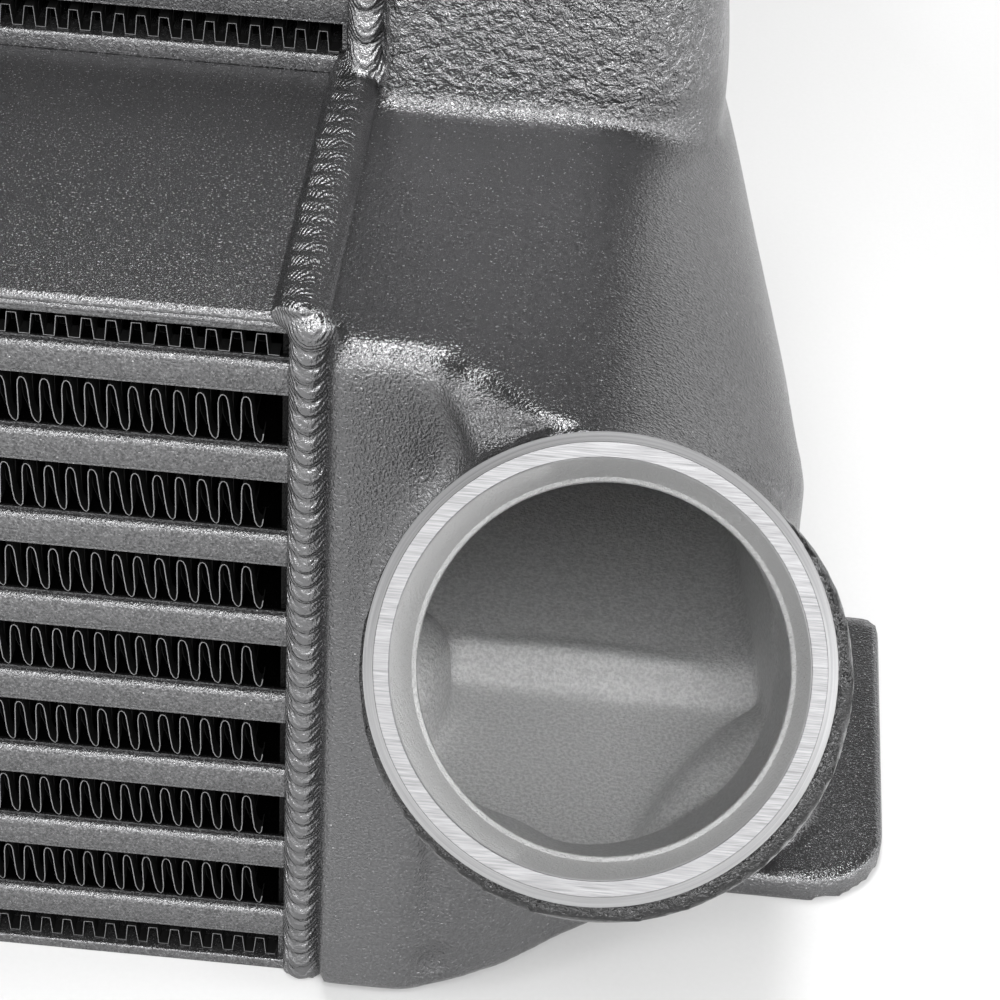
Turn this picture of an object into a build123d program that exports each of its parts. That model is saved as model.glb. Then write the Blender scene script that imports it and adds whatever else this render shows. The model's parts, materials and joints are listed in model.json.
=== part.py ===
"""Stepped air-to-air intercooler: brazed bar-and-plate core, cast end tanks, angled necks.

Frame: +X along the core, -Y the side that the necks face, +Z up.
Origin: on the resting plane, under the middle of the lower core block. Millimetres.
"""
import math
import os

from build123d import *

# ---- core ----------------------------------------------------------------
CORE_LENGTH = 520.0        # tube length, end to end
LOWER_DEPTH = 205.0        # deep lower block, front to back
UPPER_DEPTH = 130.0        # shallow upper block, flush with the lower one at the back
LOWER_TUBES = 8
UPPER_TUBES = 4
BAR_WIDTH = 7.0            # closing bars along the front and back of each tube
BAR_HEIGHT = 5.7
SHEET = 0.5                # brazing sheet above and below each tube
FIN_ROW = 11.0             # cooling-air gap between two tubes
END_FIN_ROW = 6.5          # lower gap next to an end plate
PLATE = 2.2                # end plates
SEAM_PLATE = 3.4           # thicker plate under the upper block
HEADER_BAR = 5.0           # bars that close each cooling-air row at the tanks
HEADER_SET_BACK = 2.0      # header bars stop short of the tube faces

# ---- fins: folded sheet, with wide folds standing for many narrow ones ----
FIN_SHEET = 0.3
FIN_FOLDS = 12             # zigzag folds in one cooling-air row
FIN_SET_BACK = 1.5         # fins stop short of the tube faces
FIN_END_GAP = 3.0          # between a fin row and its header bar
TURBULATOR_FOLDS = 4       # folds across one tube
TURBULATOR_SHEET = 0.4
TURBULATOR_END_GAP = 6.0   # from the tube's mouth
BRAZE_GAP = 0.02           # sheet metal to its seat
PICK_BAND = 0.02           # how near to its height an edge is looked for

# ---- end tanks: one casting each ------------------------------------------
TANK_WALL = 5.0
TANK_PROUD = 8.0           # casting stands out past the core's front and back
SPIGOT = 3.5               # first stretch, flush with the core, that carries the weld
FLANGE = 8.0               # length of the thick rim that lands on the core bars
FRONT_REACH = 100.0        # reach past the core end near the floor, at the core's front
BACK_REACH = 72.5          # the same at the core's back: the deep half's side is slanted
SIDE_LEAN = 0.16           # and leans inwards, this much for each unit of height
TOP_REACH = 61.0           # reach of the upper half
LEDGE_SIDE_ROUND = 37.0    # radius from the ledge down into the slanted side
LEDGE_FILLET = 8.0         # inside corner between the ledge and the upper front face
TOP_ROUND = 9.0            # top front and top back edges
FRONT_EDGE_ROUND = 5.0     # between the ledge and the front walls
BASE_BEVEL = 6.0           # bottom edges of the front, side and back walls
UPPER_CORNER = 20.0        # upright front corner of the upper half
REAR_CORNER = 22.0         # upright back corner
SWEEP_START = 23.0         # the front wall turns back this far from the core end
SWEEP_DEPTH = 44.0         # how far back the swept wall reaches
SWEEP_ROUND = 18.0         # upright corners of the swept wall
HOOD_START = 22.0          # hood over the neck: it leaves the front wall this far past the core end
HOOD_SHOULDER = 31.0       # its shoulder past the core end
HOOD_STEP = 17.0           # and in front of the core
HOOD_LEFT = 46.0           # where the hood reaches furthest forwards
HOOD_REACH = 25.0          # how far in front of the core
HOOD_DROP = 46.0           # hood height, down into the neck
HOOD_ROUND = 10.0          # corner in the front wall, shoulder and front corner
HOOD_CORNER = 28.0         # the hood's outer upright corner

# ---- neck ------------------------------------------------------------------
NECK_OUT = 49.5            # neck axis past the core end
NECK_FORWARD = 52.0        # mouth's centre in front of the core
NECK_HEIGHT = 126.8        # mouth's centre above the resting plane
NECK_PITCH = 41.2          # axis rises forwards, in degrees
CAST_RADIUS = 37.2         # rough barrel
CAST_SHIFT = 0.9           # rough barrel's axis lies off the machined axis
TURNED_RADIUS = 35.6       # machined outside
TURNED_LENGTH = 8.0
TURNED_CHAMFER = 1.8       # from the machined outside to the flat face
BORE_RADIUS = 31.4         # machined bore
BORE_LENGTH = 12.0
LIP_RADIUS = 28.4          # stop at the end of the bore
LIP_LENGTH = 3.0
PASSAGE_RADIUS = 32.8      # rough passage behind the stop

# ---- inside floor step and foot ---------------------------------------------
STEP_DEPTH = 81.0          # riser's place, behind the core's front
STEP_HEIGHT = 7.5
STEP_RUN = 2.5             # how far the riser leans
FOOT_REACH = 108.0         # foot's outer edge past the core end
FOOT_ROOT = 48.0           # foot's inner end, inside the casting
FOOT_FRONT = 30.0          # foot's front edge, behind the core's front
FOOT_BACK = 111.0
FOOT_THICK = 6.0
FOOT_CORNER = 16.0
FOOT_BACK_CORNER = 4.0

# ---- weld bead ---------------------------------------------------------------
BEAD_LAP = 4.0             # bead's width over the core end
BEAD_HEIGHT = 2.6
BEAD_SHOULDER = 1.1        # bead's height where it meets the tank
BEAD_GROOVE = 2.0          # depth of the groove under the core that holds the bead
BEAD_TOE = 0.05            # edge of the bead on the core
BEAD_RISE = 0.8            # share of the height reached half-way up from the toe
BEAD_FALL = 0.85           # and half-way down towards the tank

# ---- derived places ----------------------------------------------------------
END = CORE_LENGTH / 2
FRONT = -LOWER_DEPTH / 2
BACK = LOWER_DEPTH / 2
UPPER_FRONT = BACK - UPPER_DEPTH
TUBE_HEIGHT = BAR_HEIGHT + 2 * SHEET
PITCH = TUBE_HEIGHT + FIN_ROW
LEDGE_Z = 2 * PLATE + 2 * END_FIN_ROW + LOWER_TUBES * TUBE_HEIGHT + (LOWER_TUBES - 1) * FIN_ROW
UPPER_ROWS = 2 * END_FIN_ROW + UPPER_TUBES * TUBE_HEIGHT + (UPPER_TUBES - 1) * FIN_ROW
TOP_Z = LEDGE_Z + SEAM_PLATE + UPPER_ROWS + PLATE
FAR = 2 * CORE_LENGTH      # longer than anything that it trims


def block(x, y, z):
    """A box from pairs of limits along each axis."""
    size = Box(x[1] - x[0], y[1] - y[0], z[1] - z[0])
    return Pos((x[0] + x[1]) / 2, (y[0] + y[1]) / 2, (z[0] + z[1]) / 2) * size


def rounded(points, radii):
    """A face from corner points, each corner turned with its own radius."""
    face = Face(Wire.make_polygon([Vector(*p) for p in points], close=True))
    for point, radius in zip(points, radii):
        if radius > 0:
            corner = face.vertices().sort_by_distance(Vector(*point))[0]
            face = face.fillet_2d(radius, [corner])
    return face if face.normal_at().Z > 0 else -face


# ---- core pieces ---------------------------------------------------------------
def header_bars(depth, z0, height):
    """Two bars that close a cooling-air row at the core's ends."""
    y = (BACK - depth + HEADER_SET_BACK, BACK - HEADER_SET_BACK)
    z = (z0, z0 + height)
    return [block((END - HEADER_BAR, END), y, z), block((-END, HEADER_BAR - END), y, z)]


def tube(depth, z0, row_above):
    """One charge-air tube, open at both ends, with the header bars that stand on it."""
    y0 = BACK - depth
    body = block((-END, END), (y0, BACK), (z0, z0 + TUBE_HEIGHT))
    y_inner = (y0 + BAR_WIDTH, BACK - BAR_WIDTH)
    z_inner = (z0 + SHEET, z0 + SHEET + BAR_HEIGHT)
    body -= block((-END, END), y_inner, z_inner)
    return body + header_bars(depth, z0 + TUBE_HEIGHT, row_above)


def end_plate(depth, z0, thickness, row_above=0.0):
    """A flat end plate, with header bars when a cooling-air row stands on it."""
    plate = block((-END, END), (BACK - depth, BACK), (z0, z0 + thickness))
    if row_above > 0:
        plate += header_bars(depth, z0 + thickness, row_above)
    return plate


def zigzag(length, height, folds, sheet):
    """Outline of a folded sheet: one closed zigzag band, centred on its length."""
    leg = length / (2 * folds)
    rise = sheet * math.hypot(leg, height) / leg
    steps = range(2 * folds + 1)
    upper = [(k * leg - length / 2, height if k % 2 else rise) for k in steps]
    lower = [(k * leg - length / 2, height - rise if k % 2 else 0) for k in steps]
    return upper + lower[::-1]


def fin(depth, z0, height):
    """Cooling-air fins of one row, folded along the core."""
    length = CORE_LENGTH - 2 * (HEADER_BAR + FIN_END_GAP)
    outline = zigzag(length, height - 2 * BRAZE_GAP, FIN_FOLDS, FIN_SHEET)
    y = BACK - FIN_SET_BACK
    points = [Vector(x, y, z0 + BRAZE_GAP + z) for x, z in outline]
    face = Face(Wire.make_polygon(points, close=True))
    return extrude(face, depth - 2 * FIN_SET_BACK, dir=(0, -1, 0))


def turbulator(depth, z0):
    """Folded sheet inside one tube, with its channels along the charge air."""
    width = depth - 2 * BAR_WIDTH - 2 * BRAZE_GAP
    outline = zigzag(width, BAR_HEIGHT - 2 * BRAZE_GAP, TURBULATOR_FOLDS, TURBULATOR_SHEET)
    middle = BACK - depth / 2
    x = TURBULATOR_END_GAP - END
    points = [Vector(x, middle + y, z0 + SHEET + BRAZE_GAP + z) for y, z in outline]
    face = Face(Wire.make_polygon(points, close=True))
    return extrude(face, CORE_LENGTH - 2 * TURBULATOR_END_GAP, dir=(1, 0, 0))


def core_block(name, depth, z0, tubes, parts):
    """One brazed block: fin row, then tube and fin row by turns. Returns its top."""
    parts[f"{name}_fin_1"] = fin(depth, z0, END_FIN_ROW)
    z = z0 + END_FIN_ROW
    for k in range(1, tubes + 1):
        row = FIN_ROW if k < tubes else END_FIN_ROW
        parts[f"{name}_tube_{k}"] = tube(depth, z, row)
        parts[f"{name}_turbulator_{k}"] = turbulator(depth, z)
        parts[f"{name}_fin_{k + 1}"] = fin(depth, z + TUBE_HEIGHT, row)
        z += TUBE_HEIGHT + row
    return z


def core(parts):
    """Both blocks and their end plates, stacked from the resting plane up."""
    parts["bottom_plate"] = end_plate(LOWER_DEPTH, 0, PLATE, END_FIN_ROW)
    z = core_block("lower", LOWER_DEPTH, PLATE, LOWER_TUBES, parts)
    parts["ledge_plate"] = end_plate(LOWER_DEPTH, z, PLATE)
    parts["seam_plate"] = end_plate(UPPER_DEPTH, LEDGE_Z, SEAM_PLATE, END_FIN_ROW)
    z = core_block("upper", UPPER_DEPTH, LEDGE_Z + SEAM_PLATE, UPPER_TUBES, parts)
    parts["top_plate"] = end_plate(UPPER_DEPTH, z, PLATE)


# ---- end tank: the right one, mirrored for the left ------------------------------
def core_outline(x, grow, floor):
    """Stepped outline of the core's end at x, grown outwards all round but below."""
    points = [
        (x, FRONT - grow, floor),
        (x, FRONT - grow, LEDGE_Z + grow),
        (x, UPPER_FRONT - grow, LEDGE_Z + grow),
        (x, UPPER_FRONT - grow, TOP_Z + grow),
        (x, BACK + grow, TOP_Z + grow),
        (x, BACK + grow, floor),
    ]
    return Face(Wire.make_polygon([Vector(*p) for p in points], close=True))


def side(y, z, inset):
    """Place of the deep half's slanted and leaning side at y and z."""
    back = (y - FRONT) / LOWER_DEPTH
    reach = FRONT_REACH + back * (BACK_REACH - FRONT_REACH)
    return END + reach - SIDE_LEAN * z - inset


def deep_plan(start, inset):
    """Plan of the deep half: straight front, wall swept back under the neck, slanted side."""
    front = FRONT - TANK_PROUD + inset
    back = BACK + TANK_PROUD - inset
    sweep = FRONT + SWEEP_DEPTH + inset
    points = [
        (start, front),
        (END + SWEEP_START - inset / 2, front),
        (side(sweep, 0, inset), sweep),
        (side(back, 0, inset), back),
        (start, back),
    ]
    return rounded(points, [0, SWEEP_ROUND, SWEEP_ROUND, REAR_CORNER - inset, 0])


def hood_plan(start, inset):
    """Plan of the ledge and of the hood that carries it out over the neck."""
    front = FRONT - TANK_PROUD + inset
    reach = FRONT - HOOD_REACH + inset
    middle = LEDGE_Z - HOOD_DROP / 2
    turn = HOOD_ROUND - inset
    points = [
        (start, front),
        (END + HOOD_START + inset / 2, front),
        (END + HOOD_SHOULDER + inset / 2, FRONT - HOOD_STEP + inset),
        (END + HOOD_LEFT, reach),
        (side(reach, middle, inset), reach),
        (side(UPPER_FRONT, middle, inset), UPPER_FRONT),
        (start, UPPER_FRONT),
    ]
    return rounded(points, [0, HOOD_ROUND, turn, turn, HOOD_CORNER - inset, 0, 0])


def upper_plan(start, inset):
    """Plan of the shallow half."""
    front = UPPER_FRONT - TANK_PROUD + inset
    back = BACK + TANK_PROUD - inset
    side = END + TOP_REACH - inset
    points = [(start, front), (side, front), (side, back), (start, back)]
    return rounded(points, [0, UPPER_CORNER - inset, REAR_CORNER - inset, 0])


def side_volume(inset):
    """Space inside the deep half's slanted side and its rounding up to the ledge."""
    slant = math.atan2(FRONT_REACH - BACK_REACH, LOWER_DEPTH)
    outward = Vector(math.cos(slant), math.sin(slant), 0)
    forward = Vector(math.sin(slant), -math.cos(slant), 0)
    origin = Vector(side(FRONT, 0, inset), FRONT, 0)
    top = LEDGE_Z - inset
    profile = [(0, 0), (-SIDE_LEAN * top, top), (-FAR, top), (-FAR, 0)]
    face = rounded(profile, [0, LEDGE_SIDE_ROUND - inset, 0, 0])
    return extrude(Plane(origin=origin, x_dir=outward, z_dir=forward) * face, FAR, both=True)


def step_volume(inset):
    """Space under the ledge, its inside corner, the upper front face and the top."""
    front = UPPER_FRONT - TANK_PROUD + inset
    back = BACK + TANK_PROUD - inset
    top = TOP_Z - inset
    points = [
        (-FAR, 0),
        (back, 0),
        (back, top),
        (front, top),
        (front, LEDGE_Z - inset),
        (-FAR, LEDGE_Z - inset),
    ]
    radii = [0, 0, TOP_ROUND - inset, TOP_ROUND - inset, LEDGE_FILLET + inset, 0]
    face = rounded(points, radii)
    return extrude(Plane.YZ * face, FAR)


def rim(solid, z, back):
    """Edges of the flat face at height z, ahead of y = back, but for the core's side."""
    edges = solid.edges().filter_by_position(Axis.Z, z - PICK_BAND, z + PICK_BAND)
    start = solid.bounding_box().min.X + PICK_BAND
    boxes = [(edge, edge.bounding_box()) for edge in edges]
    return [edge for edge, box in boxes if box.max.X > start and box.max.Y < back]


def tank_body(inset):
    """Body without its neck: outside at inset 0, inside at the wall's thickness."""
    start = END + (SPIGOT if inset == 0 else FLANGE)
    deep = extrude(Pos(0, 0, inset) * deep_plan(start, inset), LEDGE_Z - 2 * inset)
    if inset == 0:
        deep = chamfer(rim(deep, 0, FAR), BASE_BEVEL)
    hood_z = LEDGE_Z - HOOD_DROP
    hood = extrude(Pos(0, 0, hood_z) * hood_plan(start, inset), HOOD_DROP - inset)
    shallow = extrude(Pos(0, 0, inset) * upper_plan(start, inset), TOP_Z - 2 * inset)
    lower = (deep + hood) & side_volume(inset)
    if inset == 0:
        lower = fillet(rim(lower, LEDGE_Z, UPPER_FRONT), FRONT_EDGE_ROUND)
    return (lower + shallow) & step_volume(inset)


def neck_plane(shift=0.0):
    """Plane of the neck's mouth, its normal along the neck, out of the tank."""
    pitch = math.radians(NECK_PITCH)
    normal = Vector(0, -math.cos(pitch), math.sin(pitch))
    up = Vector(0, math.sin(pitch), math.cos(pitch))
    mouth = Vector(END + NECK_OUT, FRONT - NECK_FORWARD, NECK_HEIGHT)
    centre = mouth + Vector(shift, 0, 0) - up * shift
    return Plane(origin=centre, x_dir=(1, 0, 0), z_dir=normal)


def barrel(radius, start, end, shift=0.0):
    """A round bar along the neck, between two depths below its mouth."""
    disc = Circle(radius)
    return neck_plane(shift) * Pos(0, 0, -end) * extrude(disc, end - start)


def trimmed(bar, floor):
    """The part of a bar that lies ahead of the swept wall's end and above a floor."""
    return bar & block((END + SPIGOT, FAR), (-FAR, FRONT + SWEEP_DEPTH), (floor, FAR))


def neck_outside():
    """Rough barrel with its machined end and chamfered face."""
    turned = Circle(TURNED_RADIUS)
    collar = extrude(turned, 2 * TURNED_LENGTH)
    collar = chamfer(collar.edges().sort_by(Axis.Z)[-1], TURNED_CHAMFER)
    collar = neck_plane() * Pos(0, 0, -2 * TURNED_LENGTH) * collar
    rough = barrel(CAST_RADIUS, TURNED_LENGTH, FAR, CAST_SHIFT)
    return trimmed(rough, 0) + collar


def floor_step():
    """Raised back half of the inside floor, with a leaning riser."""
    riser = FRONT + STEP_DEPTH
    top = TANK_WALL + STEP_HEIGHT
    points = [(riser, 0), (BACK, 0), (BACK, top), (riser + STEP_RUN, top)]
    face = rounded(points, [0, 0, 0, STEP_RUN])
    return extrude(Plane.YZ * Pos(0, 0, END + FLANGE) * face, FRONT_REACH)


def foot():
    """Flat mounting foot, cast on the outer side at floor level."""
    points = [
        (END + FOOT_ROOT, FRONT + FOOT_FRONT),
        (END + FOOT_REACH, FRONT + FOOT_FRONT),
        (END + FOOT_REACH, FRONT + FOOT_BACK),
        (END + FOOT_ROOT, FRONT + FOOT_BACK),
    ]
    face = rounded(points, [0, FOOT_CORNER, FOOT_BACK_CORNER, 0])
    return extrude(face, FOOT_THICK)


def end_tank():
    """The right casting: body, hood, neck and foot, hollow and open towards the core."""
    outside = tank_body(0) + neck_outside() + foot()
    passage = trimmed(barrel(PASSAGE_RADIUS, BORE_LENGTH + LIP_LENGTH, FAR), TANK_WALL)
    inside = tank_body(TANK_WALL) + passage - floor_step()
    casting = outside - inside
    casting -= barrel(LIP_RADIUS, 0, BORE_LENGTH + 2 * LIP_LENGTH)
    casting -= barrel(BORE_RADIUS, 0, BORE_LENGTH)
    spigot = extrude(core_outline(END, 0, BEAD_GROOVE), SPIGOT, dir=(1, 0, 0))
    mouth = extrude(core_outline(END, -BAR_WIDTH, TANK_WALL), FLANGE, dir=(1, 0, 0))
    return casting + spigot - mouth


# ---- weld bead -------------------------------------------------------------------
def bead():
    """Crowned bead round the right core end, dressed flush underneath."""
    stations = [
        (END - BEAD_LAP, BEAD_TOE),
        (END - BEAD_LAP / 2, BEAD_HEIGHT * BEAD_RISE),
        (END, BEAD_HEIGHT),
        (END + SPIGOT / 2, BEAD_HEIGHT * BEAD_FALL),
        (END + SPIGOT, BEAD_SHOULDER),
    ]
    crown = None
    for (x0, h0), (x1, h1) in zip(stations, stations[1:]):
        slab = loft([core_outline(x0, h0, 0), core_outline(x1, h1, 0)], ruled=True)
        crown = slab if crown is None else crown + slab
    x = END - BEAD_LAP
    length = BEAD_LAP + SPIGOT
    crown -= extrude(core_outline(x, 0, -1), length, dir=(1, 0, 0))
    groove = block((END, END + SPIGOT), (FRONT, BACK), (0, BEAD_GROOVE))
    return crown + groove


def main():
    parts = {}
    core(parts)
    parts["right_end_tank"] = end_tank()
    parts["left_end_tank"] = mirror(parts["right_end_tank"], about=Plane.YZ)
    parts["right_weld_bead"] = bead()
    parts["left_weld_bead"] = mirror(parts["right_weld_bead"], about=Plane.YZ)
    os.makedirs("parts", exist_ok=True)
    for name, shape in parts.items():
        shape.label = name
        export_step(shape, os.path.join("parts", f"{name}.step"))


if __name__ == "__main__":
    main()
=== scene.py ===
"""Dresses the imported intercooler: true fins, rounded tube bars, rippled welds and cast end tanks.

Metres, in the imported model's frame: +X along the core, -Y the side that the necks face, +Z up.
"""
import json
import math
import random

import bmesh
import bpy
from mathutils import Matrix, Vector

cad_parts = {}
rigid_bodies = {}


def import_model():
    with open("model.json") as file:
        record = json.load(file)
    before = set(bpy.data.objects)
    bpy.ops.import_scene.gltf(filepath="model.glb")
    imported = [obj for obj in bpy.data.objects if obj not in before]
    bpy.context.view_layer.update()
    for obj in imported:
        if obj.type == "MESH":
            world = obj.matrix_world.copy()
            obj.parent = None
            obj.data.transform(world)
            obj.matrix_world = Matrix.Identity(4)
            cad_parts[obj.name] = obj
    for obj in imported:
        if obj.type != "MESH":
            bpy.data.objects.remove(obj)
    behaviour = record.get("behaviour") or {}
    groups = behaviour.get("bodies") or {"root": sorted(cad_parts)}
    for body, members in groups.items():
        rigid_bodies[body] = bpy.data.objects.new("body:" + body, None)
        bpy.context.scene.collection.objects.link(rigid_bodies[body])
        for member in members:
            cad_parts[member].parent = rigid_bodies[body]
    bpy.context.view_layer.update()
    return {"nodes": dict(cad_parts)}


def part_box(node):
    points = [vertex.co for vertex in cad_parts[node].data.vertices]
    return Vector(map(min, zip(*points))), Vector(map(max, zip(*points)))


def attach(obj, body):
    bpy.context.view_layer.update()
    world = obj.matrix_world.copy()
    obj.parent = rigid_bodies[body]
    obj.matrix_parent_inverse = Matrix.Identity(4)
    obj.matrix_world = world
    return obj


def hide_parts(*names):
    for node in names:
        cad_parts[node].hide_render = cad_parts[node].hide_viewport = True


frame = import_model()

MM = 0.001
TOUCH = 0.001 * MM          # places nearer than this are the same

# ---- core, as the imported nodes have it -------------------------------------
deep_corner, ledge_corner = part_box("ledge_plate")
shallow_corner, top_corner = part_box("top_plate")
END = round(ledge_corner[0], 6)               # the tubes' ends, as far left as right
FRONT, BACK = round(deep_corner[1], 6), round(ledge_corner[1], 6)
UPPER_FRONT = round(shallow_corner[1], 6)
LEDGE = round(ledge_corner[2], 6)
TOP = round(top_corner[2], 6)
END_PLATE = 2.2 * MM        # bottom and top plates
SEAM_PLATE = 3.4 * MM       # plate under the upper block
SHEET = 0.5 * MM            # brazing sheet
TUBE_HEIGHT = 6.7 * MM
BAR_DEPTH = 7 * MM
HEADER = 5 * MM             # bar that closes a fin row at the tank
HEADER_IN = 2 * MM          # in from the block's faces
FULL_ROW, HALF_ROW = 11 * MM, 6.5 * MM
# each block: its front, where its first row stands, and how many tubes it has
BLOCKS = {"lower": (FRONT, END_PLATE, 8), "upper": (UPPER_FRONT, LEDGE + SEAM_PLATE, 4)}
STRIP_IN = 1.4 * MM         # a fin row's outer strips stand this far in from the block's faces
STRIP_DEPTH = 3.2 * MM
STRIP_GAP = 0.3 * MM        # between those strips and the full-height one
FIN_SEAT = 0.17 * MM        # a fold's crest, at mid sheet, from the tube it lands on
FIN_SHEET = 0.16 * MM

# ---- neck ---------------------------------------------------------------------
MOUTH = Vector((0.3095, -0.1545, 0.1268))
PITCH = math.radians(41.2)
NECK_AXIS = Vector((0, -math.cos(PITCH), math.sin(PITCH)))


# ---- modelling ------------------------------------------------------------------
def clear_selection():
    if bpy.context.object and bpy.context.object.mode != "OBJECT":
        bpy.ops.object.mode_set(mode="OBJECT")
    bpy.ops.object.select_all(action="DESELECT")


def make_active(piece):
    clear_selection()
    piece.select_set(True)
    bpy.context.view_layer.objects.active = piece


def edit(piece):
    """Opens a piece in edit mode with nothing selected."""
    make_active(piece)
    bpy.ops.object.mode_set(mode="EDIT")
    bpy.ops.mesh.select_all(action="DESELECT")


def pick(piece, kind, test):
    """Selects the verts, edges or faces whose middle and direction pass the test."""
    shape = bmesh.from_edit_mesh(piece.data)
    bpy.ops.mesh.select_mode(type={"verts": "VERT", "edges": "EDGE", "faces": "FACE"}[kind])
    for item in getattr(shape, kind):
        if kind == "verts":
            chosen = test(item.co, item.normal)
        elif kind == "edges":
            a, b = (v.co for v in item.verts)
            chosen = test((a + b) / 2, b - a)
        else:
            chosen = test(item.calc_center_median(), item.normal)
        item.select_set(chosen)
    shape.select_flush_mode()
    bmesh.update_edit_mesh(piece.data)


def brick(x, y, z):
    """A cube primitive set to three pairs of limits, its place in its mesh."""
    clear_selection()
    middle = [(a + b) / 2 for a, b in (x, y, z)]
    bpy.ops.mesh.primitive_cube_add(size=1, location=middle)
    piece = bpy.context.object
    piece.scale = [b - a for a, b in (x, y, z)]
    settle(piece)
    return piece


def settle(piece):
    """Moves a piece's place, turn and scale into its mesh."""
    make_active(piece)
    bpy.ops.object.transform_apply(location=True, rotation=True, scale=True)


def apply(piece, kind, **settings):
    make_active(piece)
    modifier = piece.modifiers.new(kind.title(), kind)
    for name, value in settings.items():
        setattr(modifier, name, value)
    bpy.ops.object.modifier_apply(modifier=modifier.name)


def join(pieces):
    make_active(pieces[0])
    for piece in pieces:
        piece.select_set(True)
    bpy.ops.object.join()
    return pieces[0]


def clean(piece, reach=TOUCH):
    """Merges doubles and turns all faces outwards."""
    edit(piece)
    bpy.ops.mesh.select_all(action="SELECT")
    bpy.ops.mesh.remove_doubles(threshold=reach)
    bpy.ops.mesh.normals_make_consistent(inside=False)
    bpy.ops.object.mode_set(mode="OBJECT")


def copied(piece, offset=(0, 0, 0)):
    make_active(piece)
    bpy.ops.object.duplicate(linked=False)
    bpy.ops.transform.translate(value=offset)
    settle(bpy.context.object)
    return bpy.context.object


def mirrored(piece):
    """A copy across the middle of the core."""
    twin = copied(piece)
    twin.scale.x = -1
    settle(twin)
    edit(twin)
    bpy.ops.mesh.select_all(action="SELECT")
    bpy.ops.mesh.normals_make_consistent(inside=False)
    bpy.ops.object.mode_set(mode="OBJECT")
    return twin


def line(points):
    """An open chain of edges, drawn by extruding one vertex from point to point."""
    clear_selection()
    bpy.ops.mesh.primitive_plane_add(size=MM)
    piece = bpy.context.object
    edit(piece)
    bpy.ops.mesh.select_mode(type="VERT")
    bpy.ops.mesh.select_all(action="SELECT")
    bpy.ops.mesh.merge(type="CENTER")
    bpy.ops.transform.translate(value=points[0])
    for a, b in zip(points, points[1:]):
        bpy.ops.mesh.extrude_region_move(TRANSFORM_OT_translate={"value": Vector(b) - Vector(a)})
    bpy.ops.object.mode_set(mode="OBJECT")
    return piece


def dress(piece, name, material, slot, *nodes, angle=40):
    """Names a finished piece, gives it its material and ties it to the frame."""
    piece.name = piece.data.name = name
    piece.data.materials.clear()
    piece.data.materials.append(material)
    make_active(piece)
    bpy.ops.object.shade_smooth_by_angle(angle=math.radians(angle))
    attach(piece, "root")
    if nodes:
        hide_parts(*nodes)


# ---- materials ----------------------------------------------------------------------
def linear(code):
    """A colour from its sRGB hex code."""
    parts = [int(code[i:i + 2], 16) / 255 for i in (1, 3, 5)]
    return [c / 12.92 if c <= 0.04045 else ((c + 0.055) / 1.055) ** 2.4 for c in parts] + [1]


def add(tree, kind, inputs=None, **settings):
    """A node with its settings; inputs maps a socket to a value or to another node's output."""
    made = tree.nodes.new(kind)
    for name, value in settings.items():
        setattr(made, name, value)
    for socket, value in (inputs or {}).items():
        if isinstance(value, bpy.types.NodeSocket):
            tree.links.new(value, made.inputs[socket])
        else:
            made.inputs[socket].default_value = value
    return made


def blank(name):
    """A new material's tree, its shader and its object coordinates."""
    material = bpy.data.materials.new(name)
    material.use_nodes = True
    tree = material.node_tree
    place = add(tree, "ShaderNodeTexCoord").outputs["Object"]
    return material, tree, tree.nodes["Principled BSDF"], place


COATED = 0.92               # metallic share under the thin coat


def levelled(tree, flat_strength):
    """A bump's strength: the coat levels itself on what lies flat and leaves what stands upright sharp."""
    facing = add(tree, "ShaderNodeSeparateXYZ", {0: add(tree, "ShaderNodeNewGeometry").outputs["Normal"]})
    flatness = add(tree, "ShaderNodeMath", {0: facing.outputs["Z"]}, operation="ABSOLUTE")
    sharp = add(tree, "ShaderNodeMapRange",
                {0: flatness.outputs[0], 1: 0.6, 2: 0.95, 3: 1.0, 4: flat_strength})
    return sharp.outputs[0]


def flecked(tree, place, tone):
    """A colour with bare flecks in it, about 0.2 mm wide and some 4 mm apart."""
    cells = add(tree, "ShaderNodeTexVoronoi", {"Vector": place, "Scale": 260})
    fleck = add(tree, "ShaderNodeMapRange", {0: cells.outputs["Distance"], 1: 0.02, 2: 0.05, 3: 0.8, 4: 0.0})
    mixed = add(tree, "ShaderNodeMix", {0: fleck.outputs[0], 6: tone, 7: linear("#e8e8e8")}, data_type="RGBA")
    return mixed.outputs[2]


def out_of_mouth(tree, place):
    """How far a point lies out of a neck's mouth, along the neck; less than nothing is inside."""
    middle = add(tree, "ShaderNodeVectorMath", {0: place, 1: (0.0, MOUTH.y, MOUTH.z)}, operation="SUBTRACT")
    deep = add(tree, "ShaderNodeVectorMath", {0: middle.outputs[0], 1: NECK_AXIS}, operation="DOT_PRODUCT")
    return deep.outputs["Value"]


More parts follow.
